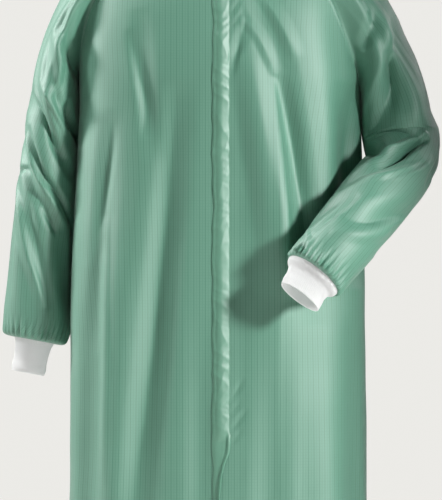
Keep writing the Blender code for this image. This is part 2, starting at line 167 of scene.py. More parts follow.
# %% Lamps
# Name, place in metres, size in metres, watts
LAMPS = (
    ("key", (2.85, -2.39, 0.24), 0.5, 160),
    ("left", (-1.77, -0.25, 2.1), 0.5, 82),
    ("rim_left", (-2.75, 0.42, 0.7), 0.5, 70),
    ("rim_right", (2.38, 1.66, 0.8), 0.5, 14),
    ("front", (-2.1, -3.64, -0.18), 2.0, 6),
)
AIM = (0, 0, -0.55)
for name, place, size, watts in LAMPS:
    lamp_data = bpy.data.lights.new(name, "AREA")
    lamp_data.size = size
    lamp_data.energy = watts
    lamp = bpy.data.objects.new(name, lamp_data)
    lamp.location = place
    away = lamp.location - type(lamp.location)(AIM)
    lamp.rotation_euler = away.to_track_quat("Z", "Y").to_euler()
    bpy.context.collection.objects.link(lamp)
print(len(LAMPS), "lamps")

# %% Flag
FLAG_PLACE = (1.188, -0.49, -0.45)
FLAG_SIZE = (0.6, 2.6)
FLAG_TURN = 46
deselect()
bpy.ops.mesh.primitive_plane_add(size=1)
bpy.ops.transform.resize(value=(*FLAG_SIZE, 1))
bpy.ops.transform.rotate(value=-math.pi / 2, orient_axis="X", center_override=(0, 0, 0))
bpy.ops.transform.rotate(value=-math.radians(FLAG_TURN), orient_axis="Z", center_override=(0, 0, 0))
bpy.ops.transform.translate(value=FLAG_PLACE)
bpy.ops.object.transform_apply(location=True, rotation=True, scale=True)
flag = bpy.context.object
flag.name = "flag"
flag.visible_camera = False
# Black card swallows nearly all the light that falls on it
flag.data.materials.append(new_material("black_card", Base_Color=linear("#101010"), Roughness=0.9)[0])
print("flag corners", [tuple(round(c, 2) for c in v.co) for v in flag.data.vertices])

# %% Light of the room
world = bpy.data.worlds.new("studio")
bpy.context.scene.world = world
world.use_nodes = True
background = world.node_tree.nodes["Background"]
background.inputs["Color"].default_value = linear("#f2f4f3")
background.inputs["Strength"].default_value = 0.025
print("room light", background.inputs["Strength"].default_value)

# %% [markdown]
# ## Curves through tables
#
# A pattern maker grades between sizes measured at a few heights. The same is done here: each form is a
# short table, and a smooth curve runs through its rows. Working on whole arrays of points at once keeps
# it quick, where one point after another would take minutes.


# %% Curves
def hermite(start, start_pull, end, end_pull, t):
    """Points of the smooth curve between two points that are left with the given pulls."""
    square, cube = t * t, t * t * t
    return (
        (2 * cube - 3 * square + 1) * start
        + (cube - 2 * square + t) * start_pull
        + (3 * square - 2 * cube) * end
        + (cube - square) * end_pull
    )


def smooth(table, at):
    """The other columns of a table at each value of its first column, on a curve through its rows."""
    rows = np.array(table, float)
    rows = rows[np.argsort(rows[:, 0])]
    keys, values = rows[:, 0], rows[:, 1:]
    slopes = np.gradient(values, keys, axis=0)
    at = np.clip(np.asarray(at, float), keys[0], keys[-1])
    low = np.clip(np.searchsorted(keys, at) - 1, 0, len(keys) - 2)
    span = (keys[low + 1] - keys[low])[..., None]
    t = (at - keys[low])[..., None] / span
    return hermite(values[low], slopes[low] * span, values[low + 1], slopes[low + 1] * span, t)


def unit(vectors):
    return vectors / np.linalg.norm(vectors, axis=-1, keepdims=True)


def outward(points, facing):
    """Directions square to rows of points, from the run of each row and column."""
    return unit(np.cross(np.gradient(points, axis=1), np.gradient(points, axis=0))) * facing


print("half way up a smooth step:", hermite(0, 0, 1, 0, 0.5))

# %% [markdown]
# ## Creases
#
# Cloth on a body hangs in a few long soft folds and breaks into short ones where it is pushed together,
# as at the elbow. Each is drawn as a path on the cloth, with a width and a depth. A skew makes
# one flank steep, as where cloth falls over itself, and a pinch sharpens the bottom of a trough or the
# top of a ridge. A ridge is a trough with a negative depth.

# %% Crease relief
STEPS_TO_A_KNOT = 6
# How full a crease stays near its ends, where less is fuller
CREASE_ENDS, FOLD_ENDS = 0.7, 0.8
# Waves per size across and along, and where each starts
UNEVEN_WAVES = ((0.9, 0.31, 0.3), (-0.42, 0.83, 1.7), (0.55, -1.21, 4.1), (1.37, 0.47, 2.2))


def crease_relief(table, across, along, turn=None):
    """How far a crease table moves the cloth out. Across and along are places on the cloth in mm."""
    out = np.zeros(across.shape)
    for path, width, depth, skew, pinch in table:
        knots = np.array(path, float)
        steps = np.linspace(0, len(knots) - 1, STEPS_TO_A_KNOT * (len(knots) - 1) + 1)
        line = smooth(np.column_stack([np.arange(len(knots)), knots]), steps)
        lengths = np.linalg.norm(np.diff(line, axis=0), axis=1)
        runs = np.concatenate([[0], np.cumsum(lengths)])
        nearest = np.full(across.shape, np.inf)
        side = np.zeros(across.shape)
        run = np.zeros(across.shape)
        for start, step, length, before in zip(line, np.diff(line, axis=0), lengths, runs):
            x, y = across - start[0], along - start[1]
            if turn:
                x = (x + turn / 2) % turn - turn / 2
            t = np.clip((x * step[0] + y * step[1]) / length**2, 0, 1)
            away = np.hypot(x - t * step[0], y - t * step[1])
            closer = away < nearest
            nearest = np.where(closer, away, nearest)
            side = np.where(closer, np.sign(step[0] * y - step[1] * x), side)
            run = np.where(closer, before + t * length, run)
        half = width / 2 * (1 + skew * side)
        share = np.clip(nearest / half, 0, 1)
        form = (1 - pinch) * np.cos(math.pi / 2 * share) ** 2 + pinch * (1 - share) ** 2
        ends = np.sin(math.pi * np.clip(run / runs[-1], 0, 1)) ** CREASE_ENDS
        out -= depth * form * ends
    return out


def ripple(across, along, size, height):
    """Slight unevenness of the cloth, from a few waves that cross at odd angles."""
    total = sum(np.sin((a * across + b * along) * math.tau / size + c) for a, b, c in UNEVEN_WAVES)
    return height * total / len(UNEVEN_WAVES)


sample = crease_relief([(((0, 0), (0, 100)), 30, 8, 0, 0.5)], np.zeros(1), np.full(1, 50.0))
print("middle of a trough 8 mm deep:", sample.round(1), "mm")

# %% [markdown]
# ## The body
#
# Round the body the coat is close to an ellipse with fuller corners, wider over the chest than at the
# neck and flaring a little to the hem. The table is the same one that the solids use, so the cloth lies
# on them. The long folds come next, as angles from the centre front and heights.

# %% Body form
HEM = -1130.0
# Height, half width to the right and to the left, half depth to the front and to the back
TORSO = (
    (5, 122, 120, 45, 50),
    (-45, 175, 165, 64, 84),
    (-75, 200, 186, 84, 100),
    (-110, 218, 204, 104, 113),
    (-150, 226, 215, 120, 122),
    (-190, 230, 222, 131, 128),
    (-250, 234, 228, 139, 131),
    (-310, 236, 233, 142, 130),
    (-380, 236, 236, 139, 126),
    (-450, 240, 239, 136, 124),
    (-530, 245, 242, 135, 126),
    (-610, 249, 244, 137, 130),
    (-700, 252.5, 244.5, 140, 135),
    (-785, 252, 245, 143, 139),
    (-900, 253, 247, 147, 144),
    (-1040, 254, 248, 152, 149),
    (HEM, 257, 250, 156, 153),
)
# 2 is an ellipse, and more has fuller corners
FULLNESS = 2.4
# Cloth to a degree round the body, in mm
DEGREE_ARC = 3.4
# Long folds: start angle, start height, end angle, end height, width, depth
BODY_FOLDS = (
    (-33, -215, -27, -470, 46, 6),
    (-18, -340, -33, -1180, 84, 13),
    (-46, -380, -50, -780, 66, 7),
    (-52, -640, -58, -1320, 90, 9),
    (-40, -560, -44, -1330, 70, -7),
    (-7, -700, -8, -1330, 50, 5),
    (15, -150, 38, -680, 70, 11),
    (11, -290, 24, -690, 60, -8),
    (36, -170, 46, -520, 110, -8),
    (66, -330, 66, -680, 170, 30),
    (22, -690, 17, -1330, 70, 8),
    (40, -740, 44, -1330, 90, -8),
    (60, -720, 62, -1330, 80, 8),
    (112, -300, 126, -900, 90, 10),
    (152, -160, 160, -700, 80, 9),
    (172, -520, 178, -1330, 90, 10),
    (146, -700, 142, -1330, 90, 10),
    (-112, -340, -122, -860, 90, 10),
    (-150, -140, -156, -620, 80, 9),
    (-160, -640, -152, -1330, 90, 10),
    (-126, -740, -128, -1330, 90, 9),
    (-86, -280, -86, -470, 130, -1.5),
    (86, -300, 86, -490, 130, -1.5),
)


def long_folds(folds, degrees, place, arc):
    """How far the long folds move the cloth outwards."""
    out = np.zeros(np.broadcast(degrees, place).shape)
    for start_angle, start, end_angle, end, width, depth in folds:
        along = np.clip((place - start) / (end - start), 0, 1)
        middle = start_angle + (end_angle - start_angle) * along
        away = np.clip(((degrees - middle + 180) % 360 - 180) * arc / (width / 2), -1, 1)
        out -= depth * np.sin(math.pi * along) ** FOLD_ENDS * np.cos(math.pi / 2 * away) ** 2
    return out


def torso(angle, height):
    """Points of the filled-out body at angles round it and heights, and the way out from them."""
    right, left, front, back = np.moveaxis(smooth(TORSO, height), -1, 0)
    across, ahead = np.sin(angle), np.cos(angle)
    reach = (abs(across) ** FULLNESS + abs(ahead) ** FULLNESS) ** (-1 / FULLNESS)
    half = np.where(across > 0, left, right)
    depth = np.where(ahead > 0, front, back)
    points = np.stack([half * across * reach, -depth * ahead * reach, height], axis=-1)
    way = unit(np.stack([across / half, -ahead / depth, 0 * height], axis=-1))
    folds = long_folds(BODY_FOLDS, np.degrees(angle), height, DEGREE_ARC)
    return points + way * folds[..., None], way


def angle_at(x, height):
    """The angle round the front at which a section reaches x."""
    right, left = np.moveaxis(smooth(TORSO, height), -1, 0)[:2]
    share = x / np.where(x > 0, left, right)
    size = abs(share)
    return np.sign(share) * np.arctan(size / (1 - size**FULLNESS) ** (1 / FULLNESS))


print("hem", sum(TORSO[-1][1:3]), "mm wide and", sum(TORSO[-1][3:]), "mm deep")

# %% [markdown]
# The shorter creases of the fronts are listed as they are seen from the front, by x and z in millimetres.
# The small ones beside the strip are puckers, where its seam holds the cloth short. The list for the back
# is in degrees from the centre front, since no picture shows it. Both are made uneven in length and
# depth, because evenly spaced folds look like a curtain.

# %% Creases of the body
# Path of (x, z), width, depth, skew, pinch
FRONT_CREASES = (
    (((-152, -250), (-141, -300), (-130, -352), (-124, -394), (-128, -432)), 34, 5.5, 0.3, 0.4),
    (((-178, -400), (-180, -440), (-190, -500), (-203, -590)), 26, 3.2, 0.2, 0.2),
    (((-72, -330), (-80, -440), (-90, -540), (-104, -660), (-122, -820), (-142, -1000), (-152, -1120)),
     64, 9, 0.2, 0.3),
    (((-190, -560), (-188, -700), (-186, -840), (-190, -1010)), 30, -6, -0.3, 0.4),
    (((200, -540), (188, -572), (172, -606)), 40, 6, 0, 0.1),
    (((66, -190), (88, -225), (106, -262), (120, -300)), 34, -6, 0.2, 0.4),
    (((34, -232), (62, -262), (80, -300), (92, -330)), 30, -4, 0.2, 0.3),
    (((86, -330), (94, -380), (102, -450), (108, -540), (106, -640)), 30, -8, -0.4, 0.5),
    (((98, -325), (112, -385), (124, -450), (136, -540), (140, -600)), 44, 9, -0.2, 0.4),
    (((22, -300), (44, -262), (36, -210)), 16, 1.5, 0, 0.2),
    (((78, -200), (88, -330), (95, -500), (96, -700), (96, -900), (104, -1126)), 120, -13, 0.1, 0.4),
    (((19, -226), (28, -212), (40, -192)), 13, 1.6, 0.2, 0.4),
    (((19, -250), (28, -238), (38, -222)), 11, 1.2, 0.2, 0.4),
    (((20, -330), (27, -296), (36, -262), (48, -226)), 22, 3.2, 0.4, 0.4),
    (((19, -860), (29, -846), (40, -826)), 12, 1.5, 0.2, 0.4),
    (((19, -884), (27, -874), (34, -862)), 10, 1.1, 0.2, 0.4),
    (((19, -912), (30, -898), (46, -876)), 13, 1.8, 0.2, 0.4),
    (((19, -932), (28, -922), (36, -908)), 11, 1.3, 0.2, 0.4),
)
# Path of (degrees, z), width, depth, skew, pinch
BACK_CREASES = (
    (((128, -300), (134, -380), (150, -470), (156, -560)), 30, 4, 0.3, 0.3),
    (((-130, -300), (-140, -390), (-152, -480)), 28, 4, 0.2, 0.3),
    (((176, -200), (172, -330), (168, -450)), 30, 3, 0.1, 0.2),
    (((-168, -520), (-172, -680), (-168, -900)), 34, 3, 0.2, 0.2),
    (((118, -600), (122, -760), (120, -1000)), 34, 4, -0.2, 0.3),
    (((-112, -520), (-110, -700), (-116, -1010)), 34, -3.5, 0.2, 0.2),
    (((98, -420), (102, -560), (98, -800)), 30, 3, 0.2, 0.2),
    (((-98, -380), (-96, -600), (-100, -900)), 30, 3, 0.2, 0.2),
)


def on_body(path):
    """A front path as places on the cloth: mm round from the centre front, and height."""
    x, z = np.array(path, float).T
    return np.column_stack([np.degrees(angle_at(x, z)) * DEGREE_ARC, z])


BODY_CREASES = [(on_body(path), *rest) for path, *rest in FRONT_CREASES]
BODY_CREASES += [
    ([(degrees * DEGREE_ARC, z) for degrees, z in path], *rest) for path, *rest in BACK_CREASES
]
print(len(BODY_CREASES), "creases on the body")

# %% Cloth of the body
# Size and height of the cloth's unevenness
BODY_RIPPLE = (130, 0.7)


def body_cloth(angle, height):
    """Points of the cloth on the body, with its creases."""
    points, way = torso(angle, height)
    around = np.degrees(angle) * DEGREE_ARC
    lift = crease_relief(BODY_CREASES, around, height, 360 * DEGREE_ARC)
    lift += ripple(around, height, *BODY_RIPPLE)
    return points + way * lift[..., None]


front_of_chest = body_cloth(np.zeros(1), np.full(1, -300.0))
print("front of the chest at", front_of_chest.round(1))

# %% [markdown]
# ## Seams
#
# A raglan sleeve runs up to the neck, so its seam crosses the panel on a slant. The two tables give the
# seam as an angle at each height. Panels and sleeves take the same points along it, and so fit exactly.
# A real seam is a groove with a low bulge beside it, from the folded edges under the cloth. It is made as
# relief of the panel itself, on columns that crowd up to the seam, which keeps the cloth in one sheet.

# %% Seam lines
FRONT_NECK, BACK_NECK = -78.0, -12.0
CENTRE_AT_UNDERARM = -340.0
SIDE_SEAM = 90.0
RAGLAN_ROWS, SKIRT_ROWS = 70, 190
# Height, degrees from the centre front
FRONT_SEAM = {
    "right": ((-45, 20), (-90, 33), (-140, 46), (-190, 58.5), (-248, 73), (-290, 82), (-316, 90)),
    "left": (
        (-45, 21), (-90, 31), (-140, 41.5), (-190, 51),
        (-248, 61), (-297, 70.5), (-338, 82), (-352, 90),
    ),
}
# Height, degrees from the centre back
BACK_SEAM = {
    "right": ((0, 26), (-50, 35), (-100, 42), (-190, 56), (-250, 67), (-290, 77), (-316, 90)),
    "left": ((0, 26), (-50, 34), (-100, 41), (-190, 53), (-250, 62), (-300, 72), (-336, 82), (-352, 90)),
}
print("underarm seams at", {side: FRONT_SEAM[side][-1][0] for side in SIDES}, "mm")

# %% Relief of a seam
SEAM_GROOVE, SEAM_GROOVE_WIDTH = 2.6, 2.2
SEAM_BULK, SEAM_BULK_PLACE, SEAM_BULK_WIDTH = 1.0, 5, 3
HEM_WIDTH, HEM_GROOVE, HEM_GROOVE_WIDTH = 20.0, 0.5, 4


def bump_at(away, width):
    """A smooth hump, 1 high where away is 0."""
    return np.exp(-((away / width) ** 2))


def seam_relief(away):
    """How a seam moves the cloth at a distance from it: a groove, then the bulk of the folded edges."""
    bulk = SEAM_BULK * bump_at(away - SEAM_BULK_PLACE, SEAM_BULK_WIDTH)
    return bulk - SEAM_GROOVE * bump_at(away, SEAM_GROOVE_WIDTH)


print("relief 0, 5 and 10 mm from a seam:", seam_relief(np.array((0, 5, 10))).round(2))

# %% Panels
ZIP_LINE = -5.0
PANEL_COLUMNS = {"front": 118, "back": 92}
# Shares of the way to the seam at which the last columns lie
EDGE_SHARES = (0.978, 0.986, 0.992, 0.9965, 1.0)


def row_heights(neck, underarm):
    """Height of each row of cloth: evenly spaced to the underarm, then to the hem."""
    upper = np.linspace(neck, underarm, RAGLAN_ROWS + 1)
    return np.concatenate([upper, np.linspace(underarm, HEM, SKIRT_ROWS + 1)[1:]])


def panel(side, face, columns):
    """Points of a panel from its centre line to its side, row by row."""
    front = face == "front"
    table = (FRONT_SEAM if front else BACK_SEAM)[side]
    edge_heights = row_heights(table[0][0], table[-1][0])
    degrees = smooth(table, edge_heights)[:, 0]
    degrees[:RAGLAN_ROWS] = np.minimum(degrees[:RAGLAN_ROWS], SIDE_SEAM - 0.5)
    degrees[RAGLAN_ROWS:] = SIDE_SEAM
    edges = np.radians(SIDES[side] * (degrees if front else 180 - degrees))
    middle = 0.0 if front else SIDES[side] * math.pi
    centres = row_heights(FRONT_NECK if front else BACK_NECK, CENTRE_AT_UNDERARM)
    starts = angle_at(np.full(centres.shape, ZIP_LINE), centres) if front else np.full(centres.shape, middle)
    even = np.linspace(0, EDGE_SHARES[0], columns + 2 - len(EDGE_SHARES))
    angles = starts[:, None] + (edges - starts)[:, None] * np.concatenate([even, EDGE_SHARES[1:]])
    bow = ((angles - middle) / (edges - middle)[:, None]) ** 2
    heights = centres[:, None] + (edge_heights - centres)[:, None] * bow
    points = body_cloth(angles, heights)
    away = np.linalg.norm(points - points[:, -1:], axis=2)
    sunk = seam_relief(away) - HEM_GROOVE * bump_at(heights - HEM - HEM_WIDTH, HEM_GROOVE_WIDTH)
    sunk[0] = 0
    return points + outward(points, -SIDES[side] if front else SIDES[side]) * sunk[..., None]


panels = {
    (side, face): panel(side, face, columns) for side in SIDES for face, columns in PANEL_COLUMNS.items()
}
print("panel points", {key: points.shape[:2] for key, points in panels.items()})

# %% [markdown]
# ## From points to cloth
#
# Blender's grid primitive is a sheet of square cells, which is what a piece of cloth is. Each of its
# points is put in its place, and its UV map is filled with the place of that point on the flat cloth in
# metres, so that the woven yarns run along the piece as they do when it is cut. Solidify then gives
# the sheet its thickness.

# %% Cloth pieces
THICKNESS = 0.6
SHARPEST_SMOOTH = 55


def flat_map(points, from_column=0):
    """The place on the flat cloth of each point: mm across from one column, and mm down."""
    steps = np.linalg.norm(np.diff(points, axis=1), axis=2)
    across = np.concatenate([np.zeros((len(points), 1)), np.cumsum(steps, axis=1)], axis=1)
    across -= across[:, from_column][:, None]
    drops = np.linalg.norm(np.diff(points, axis=0), axis=2).mean(axis=1)
    down = -np.concatenate([[0], np.cumsum(drops)])
    return np.stack([across, np.broadcast_to(down[:, None], across.shape)], axis=-1)


def cloth_piece(node, cloth, points, places, facing, thickness=THICKNESS):
    """A grid shaped to rows of points and thickened inwards, in one of the cloths, in place of a node."""
    ending, look, slot = CLOTHS[cloth]
    name = node + ending
    rows, columns = points.shape[:2]
    deselect()
    bpy.ops.mesh.primitive_grid_add(x_subdivisions=columns - 1, y_subdivisions=rows - 1, size=1)
    piece = bpy.context.object
    piece.name = name
    mesh = piece.data
    mesh.name = name
    mesh.vertices.foreach_set("co", (points * METRE).reshape(-1))
    corners = np.zeros(len(mesh.loops), int)
    mesh.loops.foreach_get("vertex_index", corners)
    mesh.uv_layers[0].data.foreach_set("uv", (places.reshape(-1, 2) * METRE)[corners].reshape(-1))
    bpy.ops.object.mode_set(mode="EDIT")
    bpy.ops.mesh.select_all(action="SELECT")
    bpy.ops.mesh.remove_doubles(threshold=0.00001)
    if facing < 0:
        bpy.ops.mesh.flip_normals()
    bpy.ops.object.mode_set(mode="OBJECT")
    wall = piece.modifiers.new("wall", "SOLIDIFY")
    wall.thickness = thickness * METRE
    wall.offset = -1
    wall.use_even_offset = False
    bpy.ops.object.modifier_apply(modifier=wall.name)
    bpy.ops.object.shade_smooth_by_angle(angle=math.radians(SHARPEST_SMOOTH))
    mesh.materials.append(look)
    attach(piece, "root")
    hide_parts(node)


# What the name of a piece ends with, its material and its slot, for each cloth
CLOTHS = {}
print("cloth", THICKNESS, "mm thick")

# %% [markdown]
# ## The cloth itself
#
# Cleanroom polyester is woven from endless filaments, so it is smooth and has a soft sheen. The carbon
# yarn shows as dark lines: strong ones about every 10 mm down the cloth, fainter ones between, and faint
# ones across. A picture of the cloth would blur from near, so the lines are worked out from the flat
# cloth's own measures. The base colour is more saturated than the cloth looks, since its sheen adds
# white light.

# %% Yarn lines
# Axis of the flat cloth, distance apart and half width in metres, strength
GRID = ((0, 0.0095, 0.0008, 1.0), (0, 0.00475, 0.0006, 0.5), (1, 0.0048, 0.0005, 0.25))


def yarn_shade(tree, place):
    """Reads up to 1 on the dark yarns and 0 between them."""
    parts = add_node(tree, "ShaderNodeSeparateXYZ", Vector=place)
    shade = 0.0
    for axis, pitch, width, strength in GRID:
        fold = {"operation": "PINGPONG"}
        away = add_node(tree, "ShaderNodeMath", fold, _0=parts.outputs[axis], _1=pitch / 2).outputs[0]
        soft = {"interpolation_type": "SMOOTHSTEP"}
        fade = {"From_Max": width, "To_Min": strength, "To_Max": 0.0}
        line = add_node(tree, "ShaderNodeMapRange", soft, Value=away, **fade).outputs[0]
        shade = add_node(tree, "ShaderNodeMath", {"operation": "MAXIMUM"}, _0=shade, _1=line).outputs[0]
    return shade


print(len(GRID), "sets of dark yarns")

# %% Grid polyester
# Smooth filament cloth: a broad soft sheen that follows the folds, over deep green, with fine dark lines
polyester, tree, shader = new_material(
    "woven_polyester_carbon_grid",
    Roughness=0.6,
    Specular_IOR_Level=1.0,
    Coat_Weight=0.7,
    Coat_Roughness=0.66,
    Coat_IOR=1.7,
    Sheen_Weight=0.15,
    Sheen_Roughness=0.5,
)
place = add_node(tree, "ShaderNodeUVMap", {"uv_map": "UVMap"}).outputs[0]
# Dyed cloth is never quite even: a broad faint mottle, 60 mm across
mottle = add_node(tree, "ShaderNodeTexNoise", Vector=place, Scale=16.0, Detail=3.0)
dyed = linear("#4c8870")
lighter = [channel * 1.06 for channel in dyed[:3]] + [1]
mix = {"data_type": "RGBA"}
tone = add_node(tree, "ShaderNodeMix", mix, _0=mottle.outputs[0], _6=dyed, _7=lighter)
# Carbon yarn is black, but the green yarns round it show through
yarns = yarn_shade(tree, place)
colour = add_node(tree, "ShaderNodeMix", mix, _0=yarns, _6=tone.outputs[2], _7=linear("#0a684c"))
tree.links.new(colour.outputs[2], shader.inputs["Base Color"])
# Threads lie 0.25 mm apart. They are drawn as faint slanting ribs 1.4 mm apart, as finer ones don't show
ribs = {"wave_type": "BANDS", "bands_direction": "DIAGONAL"}
weave = add_node(tree, "ShaderNodeTexWave", ribs, Vector=place, Scale=310.0, Distortion=0.4)
bump = add_node(tree, "ShaderNodeBump", Strength=0.12, Distance=0.0001, Height=weave.outputs[1])
tree.links.new(bump.outputs[0], shader.inputs["Normal"])
CLOTHS["polyester"] = ("_cloth", polyester, "grid_polyester")
print(polyester.name, len(tree.nodes), "nodes")

# %% [markdown]
# ## Fronts and back
#
# The two fronts are mirrored in their cut, but not in their folds. The back is cut in one piece, so its
# two halves are joined into one sheet before it is made.

# %% Make the fronts and the back
for side, sign in SIDES.items():
    # The flat map counts from the zip, so the yarns of both fronts are mirrored there
    points = panels[side, "front"]
    cloth_piece("front_" + side, "polyester", points, flat_map(points) * (sign, 1), sign)
whole_back = np.concatenate([panels["right", "back"][:, ::-1], panels["left", "back"][:, 1:]], axis=1)
cloth_piece("back", "polyester", whole_back, flat_map(whole_back, PANEL_COLUMNS["back"]), -1)

# %% [markdown]
# ## Sleeves
#
# A raglan sleeve takes in the shoulder. It leaves its seam in the line of the panel, bends over the
# shoulder and runs on down the arm as a tube. The right one hangs. The left one is bent at the elbow, and
# its forearm comes forward across the hip. Both use the arm tables of the solids.

# %% Arms
# Distance along, centre x, y, z, half width across, half depth
ARM = {
    "right": (
        (0, -282, 14, -343, 41, 74),
        (60, -287, 22, -403, 45, 70),
        (120, -292, 28, -463, 48, 67),
        (190, -297, 34, -533, 52, 64),
        (260, -302.5, 38, -603, 55, 62),
        (330, -307, 38, -673, 57.5, 60),
        (390, -311.5, 36, -733, 59.5, 58),
        (425, -318, 34, -768, 53, 54),
    ),
    "left": (
        (0, 303, 8, -385, 60, 72),
        (38, 308, 8, -423, 65, 68),
        (76, 309, -10, -456, 62, 64),
        (122, 296, -44, -486, 58, 62),
        (172, 272, -86, -513, 58, 61),
        (232, 243, -120, -547, 58, 60),
        (290, 212, -150, -584, 57, 58),
        (342, 180.5, -172, -621, 56, 56),
        (388, 152.5, -187, -654.5, 52.5, 52.5),
    ),
}
# Start angle, start along, end angle, end along, width, depth. Angles count from the outside of the arm
# over its front to its inside, and lengths from the upper arm down
SLEEVE_FOLDS = {
    "right": (
        (40, -90, 130, 60, 50, 9),
        (20, -40, 150, 150, 46, 8),
        (-10, 60, 120, 240, 50, 9),
        (60, -110, 90, 40, 44, -7),
        (30, 180, 60, 420, 60, -5),
        (200, 20, 300, 200, 60, 9),
        (230, 160, 330, 330, 60, 8),
        (120, 220, 160, 420, 60, 6),
        (0, -150, 0, 40, 150, 5),
        (204, -110, 204, 130, 90, -8.5),
    ),
    "left": (
        (30, -120, 120, 10, 50, 9),
        (70, -130, 60, 20, 46, -7),
        (150, 40, 60, 90, 60, 8),
        (40, 120, 140, 260, 66, 8),
        (80, 230, 190, 400, 60, 6),
        (-60, 30, -20, 110, 60, 7),
        (250, 120, 330, 300, 60, 7),
        (0, -150, 0, 30, 150, 8),
        (202, -110, 200, 40, 90, -7),
    ),
}
# Cloth to a degree round the arm, in mm
SLEEVE_ARC = 1.05
# How far before and after a place its axis is measured, in mm
AXIS_REACH = 2.0


def arm_frames(side, places):
    """Centre, axis, the ways out and ahead, and the half sizes at places along an arm."""
    length = ARM[side][-1][0]
    inside = np.minimum(places, length)
    section = smooth(ARM[side], inside)
    after = np.minimum(inside + AXIS_REACH, length)
    axes = unit(smooth(ARM[side], after)[:, :3] - smooth(ARM[side], after - 2 * AXIS_REACH)[:, :3])
    centres = section[:, :3] + axes * (places - inside)[:, None]
    out = np.array((SIDES[side], 0.0, 0.0))
    outs = []
    for axis in axes:
        out = unit(out - axis * out.dot(axis))
        outs.append(out)
    outs = np.array(outs)
    aheads = np.cross(axes, outs) * SIDES[side]
    return centres, axes, outs, aheads, section[:, 3:]


for side in SIDES:
    print(side, "arm", ARM[side][-1][0], "mm below the upper arm")

# %% [markdown]
# At its end the sleeve is gathered into about 32 small pleats and sewn to the knit cuff. The rows there
# close in quickly: first the pleats grow, then the cloth turns in over the cuff's edge.

# %% Cuffs and sleeve ends
# Distance out of the sleeve, half width, half depth
CUFF = {
    "right": (
        (-6, 31, 26),
        (0, 32, 27),
        (8, 29.5, 25.5),
        (20, 27.5, 24),
        (38, 26.5, 23),
        (54, 26.5, 23.5),
        (57, 25, 22),
    ),
    "left": (
        (-6, 45, 37),
        (0, 46.5, 38.5),
        (6, 45.5, 37),
        (12, 39.5, 30),
        (22, 36, 26),
        (36, 36, 24),
        (46, 35, 23),
    ),
}
# Degrees that the cuff's wide way is turned on the arm, and how far its open end leans, in mm
CUFF_TURN = {"right": 0.0, "left": -18.0}
CUFF_LEAN = {"right": (0, 0, 0), "left": (5, -12, -2)}
CUFF_FIT = 0.5
# Distance back from the end, depth of the gathers, share of the way in to the cuff
SLEEVE_END = (
    (34, 0.3, 0),
    (28, 0.5, 0),
    (22, 0.8, 0),
    (16, 1.2, 0),
    (11, 1.6, 0),
    (7, 1.9, 0.01),
    (4, 2.1, 0.035),
    (2, 2.1, 0.08),
    (0.5, 2.0, 0.16),
    (-0.5, 1.8, 0.28),
    (-1, 1.5, 0.42),
    (-1.2, 1.1, 0.58),
    (-1.2, 0.7, 0.74),
    (-1, 0.4, 0.88),
    (-1, 0, 1),
)
PLEATS = 32


def turned(outs, aheads, degrees):
    """The two ways across an arm, turned about its axis."""
    cos, sin = math.cos(math.radians(degrees)), math.sin(math.radians(degrees))
    return outs * cos + aheads * sin, aheads * cos - outs * sin


print(PLEATS, "pleats in", SLEEVE_END[0][0], "mm of each sleeve")

# %% [markdown]
# The sleeves have many short creases, since they hang loose and are pulled by the bend of the arm. They
# are listed by the way round the arm, in mm from its outside over its front, and the way along it. The
# ones that fall over themselves, as at the elbow, have a steep flank. The last rows lie behind the arm.

